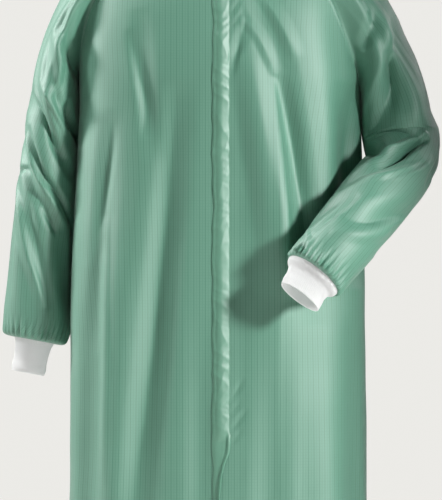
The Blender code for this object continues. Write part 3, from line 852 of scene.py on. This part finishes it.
# %% Creases of the sleeves
# Path of (around, along), width, depth, skew, pinch
SLEEVE_CREASES = {
    "right": (
        (((44, -118), (70, -92), (94, -63), (104, -35), (94, 7)), 42, -9, 0.1, 0.3),
        (((40, -100), (60, -50), (72, -15), (85, 5)), 40, 7, 0, 0.2),
        (((50, -24), (61, -13), (87, 7), (111, 39), (135, 72)), 36, -8, -0.6, 0.6),
        (((20, 0), (59, 33), (90, 62), (120, 95), (138, 114)), 52, 13, 0.6, 0.3),
        (((45, -123), (85, -92), (137, -49), (190, -11)), 48, 13, -0.3, 0.4),
        (((132, 10), (151, 49), (184, 82)), 34, 13, 0, 0.5),
        (((35, 59), (61, 99), (87, 138), (118, 168), (151, 207), (172, 240)), 26, 11, 0.1, 0.6),
        (((31, 72), (54, 110), (82, 148), (108, 182), (140, 224)), 18, -6.1, 0.2, 0.55),
        (((64, 125), (85, 147), (106, 181)), 11, 3.6, 0, 0.55),
        (((-6, 144), (31, 135), (46, 140)), 18, 6.1, 0, 0.45),
        (((7, 154), (40, 200), (59, 243), (76, 292), (92, 332), (104, 372)), 29, -8.1, 0.3, 0.35),
        (((59, 168), (73, 227), (90, 279), (106, 332), (116, 375)), 29, 5.1, 0, 0.25),
        (((90, 194), (109, 220), (123, 245)), 20, 5.1, 0, 0.35),
        (((158, 181), (170, 250), (175, 338), (172, 397)), 40, 6.1, 0, 0.25),
        (((300, -130), (262, -60), (236, 20)), 33, 10.2, 0.3, 0.45),
        (((330, -20), (300, 40), (262, 96), (228, 130)), 29, 10.2, 0.4, 0.45),
        (((236, 120), (262, 170), (300, 214)), 24, 8.1, -0.2, 0.55),
        (((340, 150), (318, 220), (300, 300), (296, 380)), 33, 7.1, 0.2, 0.35),
        (((232, 230), (240, 310), (250, 390)), 29, 6.1, 0.1, 0.35),
    ),
    "left": (
        (((50, -178), (87, -139), (123, -114)), 34, 10, 0, 0.5),
        (((28, -187), (57, -152), (85, -105), (120, -59), (160, -17), (184, 12)), 44, -9, -0.4, 0.3),
        (((10, -159), (50, -119), (78, -86), (106, -44), (137, -3), (161, 27)), 80, 22, 0.6, 0.5),
        (((116, 160), (94, 140), (80, 112), (54, 62)), 26, -12, 0, 0.5),
        (((100, 190), (83, 167), (74, 146), (66, 112), (50, 71)), 38, 26, 0.5, 0.7),
        (((192, 96), (164, 112), (138, 140), (118, 172)), 46, 16, 0.2, 0.4),
        (((116, 226), (78, 200), (58, 176), (40, 143), (24, 95)), 28, -6, 0, 0.3),
        (((71, 206), (62, 190), (46, 160), (32, 104)), 13, 5.1, 0, 0.55),
        (((97, 303), (59, 295), (28, 262), (-24, 184)), 54, 10, 0.5, 0.2),
        (((90, 336), (69, 326), (33, 300), (-7, 256)), 36, -5, 0, 0.2),
        (((140, 338), (122, 358), (98, 375)), 15, -5.1, 0, 0.45),
        (((116, 345), (111, 324), (99, 286), (92, 256)), 29, 5.1, 0.1, 0.35),
        (((0, 60), (6, 96), (2, 140)), 26, 5.1, 0, 0.35),
        (((320, -120), (290, -50), (262, 20)), 35, 10.2, 0.3, 0.45),
        (((350, 60), (320, 96), (280, 110), (240, 104)), 29, 10.2, 0.4, 0.55),
        (((344, 110), (310, 140), (262, 150), (226, 136)), 24, -6.1, 0.2, 0.45),
        (((330, 170), (300, 230), (262, 300)), 33, 8.1, 0.3, 0.35),
        (((236, 190), (244, 270), (250, 350)), 29, 7.1, 0.1, 0.35),
    ),
}
print({side: len(rows) for side, rows in SLEEVE_CREASES.items()}, "creases on the sleeves")

# %% [markdown]
# A tube could be lofted between rings, but the sleeve's first ring is its whole seam, which isn't flat.
# So each column of the sleeve leaves the seam in the panel's own direction and curves to its place on the
# first ring of the arm. From there the rings follow the arm's bend.

# %% Neck and armhole
# The point beside the neck that the sleeve's top passes, and how many columns lie there
NECK_SIDE = (79, -7, -8)
NECK_COLUMNS = 10


def neck_points(side, shares):
    """Points over the shoulder at the neck, from the front corner to the back one."""
    first, last = panels[side, "front"][0, -1], panels[side, "back"][0, -1]
    middle = np.array(NECK_SIDE, float) * (SIDES[side], 1, 1)
    pull = 2 * middle - (first + last) / 2
    share = np.asarray(shares)[:, None]
    return first * (1 - share) ** 2 + pull * 2 * share * (1 - share) + last * share**2


def even_out(rows, reach):
    """Each row becomes the mean of its neighbours within a reach."""
    padded = np.pad(rows, ((reach, reach), (0, 0)), mode="edge")
    return np.mean([padded[step : step + len(rows)] for step in range(2 * reach + 1)], axis=0)


EVEN_REACH = 4


def armhole(side):
    """The seam from the front corner round the underarm to the back one, with the ways on and out."""
    sign, last = SIDES[side], RAGLAN_ROWS
    front, back = panels[side, "front"], panels[side, "back"]
    edge = np.concatenate([front[: last + 1, -1], back[last - 1 :: -1, -1]])
    within = np.concatenate([front[: last + 1, -2], back[last - 1 :: -1, -2]])
    faces = [outward(front, -sign)[: last + 1, -1], outward(back, sign)[last - 1 :: -1, -1]]
    faces = unit(even_out(np.concatenate(faces), EVEN_REACH))
    onwards = unit(np.cross(np.gradient(edge, axis=0), faces))
    onwards *= np.sign(np.sum(onwards * (edge - within), axis=1))[:, None]
    return edge, unit(even_out(onwards, EVEN_REACH)), faces


print("raglan seams", {side: len(armhole(side)[0]) for side in SIDES}, "points")

# %% Sleeve points
# Way that the top of the shoulder runs, and how strongly the columns are drawn on
SHOULDER_SLOPE, SHOULDER_PULL = (0.985, -0.17), 0.86
# Length that the shoulder takes in the table of folds, and how far from the seam folds are full
SHOULDER_LENGTH, FOLD_START = 140.0, 90.0
# The least pull away from the seam, in the line of the panel and out from it
LEAST_PULL = (35.0, 45.0)
SHOULDER_ROWS, ARM_ROWS = 44, 120
AROUND = 2 * (RAGLAN_ROWS + NECK_COLUMNS)
UNDERARM = AROUND // 2
SLEEVE_RIPPLE = (120, 0.6)


def sleeve_relief(side, degrees, run, distance):
    """How far folds and creases lift a sleeve. Run is the way along for the folds."""
    lift = long_folds(SLEEVE_FOLDS[side], degrees, run, SLEEVE_ARC)
    around = np.broadcast_to(degrees * SLEEVE_ARC, lift.shape)
    distance = np.broadcast_to(distance, lift.shape)
    lift = lift + crease_relief(SLEEVE_CREASES[side], around, distance, 360 * SLEEVE_ARC)
    return lift + ripple(around, distance, *SLEEVE_RIPPLE)


def sleeve(side):
    """Rows of points of a sleeve, from its neck edge and seam to its gathered end."""
    edge, onwards, faces = armhole(side)
    half_neck = (NECK_COLUMNS - np.arange(NECK_COLUMNS)) / (2 * NECK_COLUMNS)
    loop = np.concatenate([neck_points(side, half_neck), edge, neck_points(side, 1 - half_neck[::-1])])
    turns = np.arange(AROUND + 1) * math.tau / AROUND
    cos, sin = np.cos(turns)[:, None], np.sin(turns)[:, None]
    degrees = np.degrees(turns)

    length = ARM[side][-1][0]
    places = np.concatenate(
        [np.linspace(0, length - SLEEVE_END[0][0], ARM_ROWS), [length - row[0] for row in SLEEVE_END[1:]]]
    )
    centres, axes, outs, aheads, halves = arm_frames(side, places)

    # Shoulder rows
    upper = centres[0] + outs[0] * halves[0, 0] * cos + aheads[0] * halves[0, 1] * sin
    reach = np.linalg.norm(upper - loop, axis=1)[:, None]
    top = (np.cos(turns / 2) ** 2)[:, None]
    slope = np.array((SIDES[side] * SHOULDER_SLOPE[0], 0, SHOULDER_SLOPE[1]))
    pull = reach * SHOULDER_PULL * (slope * top + unit(upper - loop) * (1 - top))
    seam = slice(NECK_COLUMNS, NECK_COLUMNS + len(edge))
    for way, least in zip((onwards, faces), LEAST_PULL):
        short = np.maximum(0, least - np.sum(pull[seam] * way, axis=1))
        pull[seam] += way * even_out(short[:, None], 3)
    stations = np.linspace(0, 1, SHOULDER_ROWS + 1)[:-1, None, None]
    shoulder = hermite(loop, pull, upper, axes[0] * reach, stations)
    spread = unit(outs[0] * cos + aheads[0] * sin)
    run = (stations[..., 0] - 1) * SHOULDER_LENGTH
    grown = np.minimum(1, stations[..., 0] * reach[:, 0] / FOLD_START)
    lift = sleeve_relief(side, degrees, run, (stations[..., 0] - 1) * reach[:, 0])
    shoulder += spread * (lift * grown)[..., None]
    # The seam's relief grows over the first 2 mm, so that the edge itself stays on the seam
    away = np.linalg.norm(shoulder - shoulder[:1], axis=2)[1:, seam]
    shoulder[1:, seam] += faces * (seam_relief(away) * np.clip(away / 2, 0, 1))[..., None]

    # Arm rows, whose last ones are gathered and turn in to the cuff
    ends = np.zeros((len(places), 2))
    ends[ARM_ROWS - 1 :] = [row[1:] for row in SLEEVE_END]
    gather, inwards = ends[:, :1], ends[:, 1:, None]
    lift = sleeve_relief(side, degrees, places[:, None], places[:, None])
    # The pleats drift round the arm, so that no two are the same width
    pleat = PLEATS * turns + 1.4 * np.sin(3 * turns + 1) + 0.9 * np.sin(5 * turns + 2)
    lift = lift + gather * np.cos(pleat) * (1 + 0.3 * np.sin(7 * turns))
    across, depth = halves[:, :1, None], halves[:, 1:, None]
    out, ahead = outs[:, None], aheads[:, None]
    spread = unit(out * cos * depth + ahead * sin * across)
    wide = out * across * cos + ahead * depth * sin + spread * lift[..., None]
    cuff_half = smooth(CUFF[side], 0) + CUFF_FIT
    turn = (turns - math.radians(CUFF_TURN[side]))[:, None]
    long_way, short_way = turned(out, ahead, CUFF_TURN[side])
    narrow = long_way * cuff_half[0] * np.cos(turn) + short_way * cuff_half[1] * np.sin(turn)
    arm = centres[:, None] + wide * (1 - inwards) + narrow * inwards
    rows = np.concatenate([shoulder, arm])
    return rows[:, np.r_[UNDERARM : AROUND + 1, 1 : UNDERARM + 1]]


sleeves = {side: sleeve(side) for side in SIDES}
print("sleeve points", {side: points.shape[:2] for side, points in sleeves.items()})

# %% Make the sleeves
for side, sign in SIDES.items():
    points = sleeves[side]
    cloth_piece("sleeve_" + side, "polyester", points, flat_map(points, UNDERARM), -sign)

# %% [markdown]
# ## Knit cuffs
#
# A cuff is a tube of rib knit, doubled so that its open end is a fold. Its ribs run lengthwise. The left
# one spreads where the sleeve's gathers pull it, then narrows, and its open end is a flat oval. Ribs could
# be a bump in the material, but real ones also show at the folded end, so they are modelled.

# %% Cuffs
CUFF_COLUMNS, CUFF_ROWS, FOLD_ROWS = 288, 36, 8
RIBS = 72
RIB_HEIGHT = 0.22
KNIT_THICKNESS = 2.0


def cuff(side):
    """Rows of points of a cuff, from inside the sleeve to its folded end."""
    length = ARM[side][-1][0] - SLEEVE_END[-1][0]
    centres, axes, outs, aheads, _ = arm_frames(side, np.linspace(0, length, ARM_ROWS))
    long_way, short_way = turned(outs[-1], aheads[-1], CUFF_TURN[side])
    turns = np.linspace(0, math.tau, CUFF_COLUMNS + 1)
    ends = [row[0] for row in CUFF[side]]
    straight = np.linspace(ends[0], ends[-2], CUFF_ROWS)
    places = np.concatenate([straight, np.linspace(ends[-2], ends[-1], FOLD_ROWS + 1)[1:]])
    halves = smooth(CUFF[side], places)
    ribbed = RIB_HEIGHT * np.cos(RIBS * turns)
    lean = np.array(CUFF_LEAN[side], float) * np.maximum(0, places / ends[-1])[:, None] ** 2
    middles = centres[-1] + axes[-1] * places[:, None] + lean
    return (
        middles[:, None]
        + long_way * ((halves[:, :1] + ribbed) * np.cos(turns))[..., None]
        + short_way * ((halves[:, 1:] + ribbed) * np.sin(turns))[..., None]
    )


cuffs = {side: cuff(side) for side in SIDES}
print("cuff points", {side: points.shape[:2] for side, points in cuffs.items()})

# %% Rib knit
# Bulky polyester yarn, since cotton sheds fibres: a soft even white with no shine. Light passes on inside
# the knit, which softens its shades, and a faint white glow of its own, painted light, lifts the cuffs'
# shade
rib_knit = new_material(
    "white_rib_knit",
    Base_Color=linear("#bababa"),
    Roughness=0.9,
    Sheen_Weight=0.2,
    Subsurface_Weight=0.7,
    Subsurface_Radius=(1, 1, 1),
    Subsurface_Scale=0.02,
    # Painted light: a faint white glow that lifts the shaded side of the cuffs
    Emission_Color=(1, 1, 1, 1),
    Emission_Strength=0.2,
)[0]
CLOTHS["knit"] = ("_knit", rib_knit, "rib_knit")
for side, sign in SIDES.items():
    points = cuffs[side]
    cloth_piece("cuff_" + side, "knit", points, flat_map(points), -sign, KNIT_THICKNESS)

# %% [markdown]
# ## Collar
#
# The collar is a low stand cut as one strip and sewn along the whole neckline. It leans in a little and
# its two ends meet over the zip. The picture ends below it, so it is kept plain.

# %% Collar
# Height, share of the neckline's size, lean to the front
COLLAR_TABLE = ((0, 1, 0), (6, 0.985, 0.5), (16, 0.97, 1.0), (30, 0.965, 1.0), (44, 0.97, 0.0))
COLLAR_ROWS = 24
NECK_CENTRE_Y = -14.0
SEAM_GAP = 0.3


def raised(base, height):
    """A neckline moved up the collar by a height."""
    share, lean = smooth(COLLAR_TABLE, height)
    row = base.copy()
    row[:, 0] *= share
    row[:, 1] = NECK_CENTRE_Y + (row[:, 1] - NECK_CENTRE_Y) * share - lean
    row[:, 2] += height
    return row


def half_neckline(side):
    """The neck edge of a side, from the centre front over the shoulder to the centre back."""
    over = neck_points(side, np.linspace(0, 1, 2 * NECK_COLUMNS + 1)[1:-1])
    return np.concatenate([panels[side, "front"][0], over, panels[side, "back"][0, ::-1]])


neckline = np.concatenate([half_neckline("right"), half_neckline("left")[-2::-1]])
heights = np.linspace(COLLAR_TABLE[-1][0], SEAM_GAP, COLLAR_ROWS)
stand = np.array([raised(neckline, height) for height in heights])
stand[:, 0, 0] = neckline[0, 0] - SEAM_GAP
stand[:, -1, 0] = neckline[-1, 0] + SEAM_GAP
cloth_piece("collar", "polyester", stand, flat_map(stand), -1)

# %% [markdown]
# ## Strip over the zip
#
# A plain strip of shiny satin hides the zip. It is sewn down along the wearer's left edge, and its right
# edge is free. It swells over the zip's teeth, with a groove beside them near the top. Below the zip's end
# the strip is no longer sewn, so it rolls over and its edge wanders to the middle. Thin satin never lies
# flat: it is full of little crinkles. A cloth simulation could make them, but a few sharp waves that cross
# are quick, stay the same in every run, and can be made to fade where the strip is held down.

# %% Forms of the strip
STRIP_FREE, STRIP_SEWN = -12.0, 17.0
ZIP_END = -925.0
# Height, x of the rolled edge, how far it stands off
STRIP_LOOSE = (
    (-925, 17, 0),
    (-945, 15.5, 1.5),
    (-965, 8, 3),
    (-985, 3, 4),
    (-1010, 0, 4),
    (-1060, -2, 3),
    (HEM, -3, 2),
)
# Share across from the free edge, height off the panel
STRIP_SWELL = (
    (0, 1.2), (0.06, 2.2), (0.13, 2.4), (0.18, 1.9), (0.27, 4.0), (0.36, 6.0),
    (0.46, 5.9), (0.7, 3.9), (0.88, 1.9), (0.95, 0.9), (1, 1.1),
)
# The same below the kink, where the groove is gone, and below the zip, where the edge is rolled
STRIP_PLAIN = (
    (0, 1.2), (0.06, 2.6), (0.18, 3.4), (0.32, 5.2), (0.44, 5.6),
    (0.7, 3.9), (0.88, 1.9), (0.95, 0.9), (1, 1.1),
)
STRIP_ROLLED = ((0, 1.2), (0.1, 2.0), (0.6, 2.2), (0.8, 2.4), (0.88, 4.4), (0.95, 4.2), (1, 1.6))
# The free edge is straight down to a kink, and sways below it
STRIP_KINK, STRIP_SWAY = -170.0, 0.7
STRIP_COLUMNS = 30
# Distance in which one form turns into the next
STRIP_CHANGE = 30
COLLAR_STEPS, PANEL_STEPS = 20, 430
STRIP_TOP, STRIP_FOOT = 43.5, 1.0
print("strip", STRIP_SEWN - STRIP_FREE, "mm wide")

# %% Strip points
# Size, slant and height of the crinkles, in mm
CRINKLES = ((31, 0.9, 0.9), (21, -1.3, 0.6), (13, 0.5, 0.35), (47, -0.6, 1.0))


def crinkled(across, along):
    """Sharp little ridges of thin satin, from waves that bend as they cross."""
    total = 0 * across
    for number, (size, slant, height) in enumerate(CRINKLES):
        bend = 1.3 * np.sin(along * math.tau / (3.7 * size) + number)
        wave = np.sin((along + slant * across) * math.pi / size + bend + 2 * number)
        total = total + height * (0.6 - abs(wave) ** 0.7) * (0.6 + 0.4 * np.sin(along / (2.3 * size)))
    return total


def strip_points():
    """Rows of points of the strip, from the top of the collar to the hem."""
    share = np.linspace(0, 1, STRIP_COLUMNS + 1)
    heights = np.concatenate([[FRONT_NECK] * COLLAR_STEPS, np.linspace(FRONT_NECK, HEM, PANEL_STEPS)])
    edge, off = np.moveaxis(smooth(STRIP_LOOSE, heights), -1, 0)
    edge = np.where(heights > ZIP_END, STRIP_SEWN, edge)
    off = np.where(heights > ZIP_END, 0, off)
    # Three waves that don't keep step make the edge wander
    sway = np.sin(heights / 23) + np.sin(heights / 9.7 + 1) + np.sin(heights / 41 + 2)
    below = np.clip((STRIP_KINK - heights) / STRIP_CHANGE, 0, 1)
    free = STRIP_FREE + STRIP_SWAY * sway * below
    x = free[:, None] + (edge - free)[:, None] * share
    places = np.broadcast_to(heights[:, None], x.shape)
    points = body_cloth(angle_at(x, places), places)
    # The strip comes loose within 16 mm, from just above the zip's end
    loose = np.clip((ZIP_END + 12 - heights) / 16, 0, 1)[:, None]
    merged = below[:, None]
    forms = (STRIP_SWELL, STRIP_PLAIN, STRIP_ROLLED)
    grooved, plain, rolled = (smooth(form, share)[:, 0] for form in forms)
    swell = (grooved * (1 - merged) + plain * merged) * (1 - loose) + rolled * loose
    # Crinkles fade where the strip lies close to the panel
    free_cloth = np.clip((swell - 0.9) / 1.2, 0, 1) * (1 - 0.8 * loose)
    points[..., 1] -= swell + off[:, None] * share**2 + free_cloth * crinkled(x, places)
    for row, height in enumerate(np.linspace(STRIP_TOP, STRIP_FOOT, COLLAR_STEPS)):
        points[row] = raised(points[row], height)
    return points


strip = strip_points()
print("strip", strip.shape)

# %% Make the strip
# In satin weave the threads float over many others, so it shines more than the coat, and it has no grid
satin = new_material(
    "satin_weave_polyester", Base_Color=linear("#5b8f78"), Roughness=0.5, Specular_IOR_Level=1.0
)[0]
CLOTHS["satin"] = ("_satin", satin, "satin_strip")
cloth_piece("zip_cover", "satin", strip, flat_map(strip), 1)

# %% [markdown]
# ## Stitches
#
# The raglan seams are topstitched 5 mm in, the hem 17 mm up, and the strip beside its sewn edge.
# A stitch is a short length of thread that dips at both ends. All the stitches of a seam are one mesh,
# made by placing one small spindle again and again along the seam's line.

# %% Stitches along a line
# Distance from stitch to stitch, length of a stitch, and the thread's radius
PITCH, STITCH, THREAD = 3.2, 2.3, 0.36
# Place along a stitch and thickness there, as shares of its length and radius
SPINDLE = ((-0.5, 0.2), (-0.3, 0.9), (0.3, 0.9), (0.5, 0.2))
STITCH_SIDES = 5


def stitch_points(line, ways):
    """Points of the spindles along a line. Ways are the directions out of the cloth."""
    steps = np.linalg.norm(np.diff(line, axis=0), axis=1)
    runs = np.concatenate([[0], np.cumsum(steps)])
    places = np.arange(PITCH, runs[-1] - PITCH, PITCH)
    at = np.stack([np.interp(places, runs, line[:, axis]) for axis in range(3)], axis=1)
    up = unit(np.stack([np.interp(places, runs, ways[:, axis]) for axis in range(3)], axis=1))
    on = unit(np.stack([np.interp(places + 1, runs, line[:, axis]) for axis in range(3)], axis=1) - at)
    over = np.cross(on, up)
    turn = np.arange(STITCH_SIDES) * math.tau / STITCH_SIDES
    rings = []
    for along, thick in SPINDLE:
        ring = up[:, None] * np.cos(turn)[:, None] + over[:, None] * np.sin(turn)[:, None]
        rings.append((at + on * along * STITCH)[:, None] + ring * thick * THREAD)
    return np.stack(rings, axis=1)


# Twisted thread is dull, and a shade darker than the cloth it was dyed to match
sewing_thread = new_material("polyester_sewing_thread", Base_Color=linear("#3f7f64"), Roughness=0.6)[0]


def stitches(name, lines):
    """One mesh of all the stitches along some lines, each a pair of points and ways out."""
    spindles = np.concatenate([stitch_points(*line) for line in lines])
    count, rings, sides = spindles.shape[:3]
    faces = []
    for first in range(0, count * rings * sides, rings * sides):
        for ring in range(rings - 1):
            for side in range(sides):
                a, b = first + ring * sides + side, first + ring * sides + (side + 1) % sides
                faces.append((a, b, b + sides, a + sides))
        faces.append(tuple(range(first + sides - 1, first - 1, -1)))
        faces.append(tuple(range(first + (rings - 1) * sides, first + rings * sides)))
    mesh = bpy.data.meshes.new(name)
    mesh.from_pydata((spindles.reshape(-1, 3) * METRE).tolist(), [], faces)
    piece = bpy.data.objects.new(name, mesh)
    bpy.context.collection.objects.link(piece)
    deselect()
    bpy.context.view_layer.objects.active = piece
    piece.select_set(True)
    bpy.ops.object.mode_set(mode="EDIT")
    bpy.ops.mesh.select_all(action="SELECT")
    bpy.ops.mesh.normals_make_consistent(inside=False)
    bpy.ops.object.mode_set(mode="OBJECT")
    bpy.ops.object.shade_smooth()
    mesh.materials.append(sewing_thread)
    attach(piece, "root")
    print(name, count, "stitches")


# %% Sew the seams
TOPSTITCH, HEM_STITCH = 5.0, 17.0
STAND_OFF = 0.6 * THREAD
# Column of the strip that its stitches follow
STRIP_SEAM = -3


def beside(points, ways, distance):
    """The line at a distance from the last column of some rows, with the ways out."""
    away = np.linalg.norm(points - points[:, -1:], axis=2)
    column = np.argmin(abs(away - distance), axis=1)
    rows = np.arange(len(points))
    nearer = np.minimum(column + 1, points.shape[1] - 1)
    first, second = away[rows, column], away[rows, nearer]
    share = np.clip((first - distance) / np.maximum(first - second, 1e-6), -1, 1)[:, None]
    line = points[rows, column] * (1 - share) + points[rows, nearer] * share
    return line + ways[rows, column] * STAND_OFF, ways[rows, column]


for (side, face), points in panels.items():
    ways = outward(points, -SIDES[side] if face == "front" else SIDES[side])
    hem_row = np.argmin(abs(points[:, 0, 2] - HEM - HEM_STITCH))
    seams = [
        beside(points[:RAGLAN_ROWS], ways[:RAGLAN_ROWS], TOPSTITCH),
        (points[hem_row] + ways[hem_row] * STAND_OFF, ways[hem_row]),
    ]
    stitches("stitches_" + face + "_" + side, seams)
sewn_ways = outward(strip, 1)[:, STRIP_SEAM]
stitches("stitches_strip", [(strip[:, STRIP_SEAM] + sewn_ways * STAND_OFF, sewn_ways)])
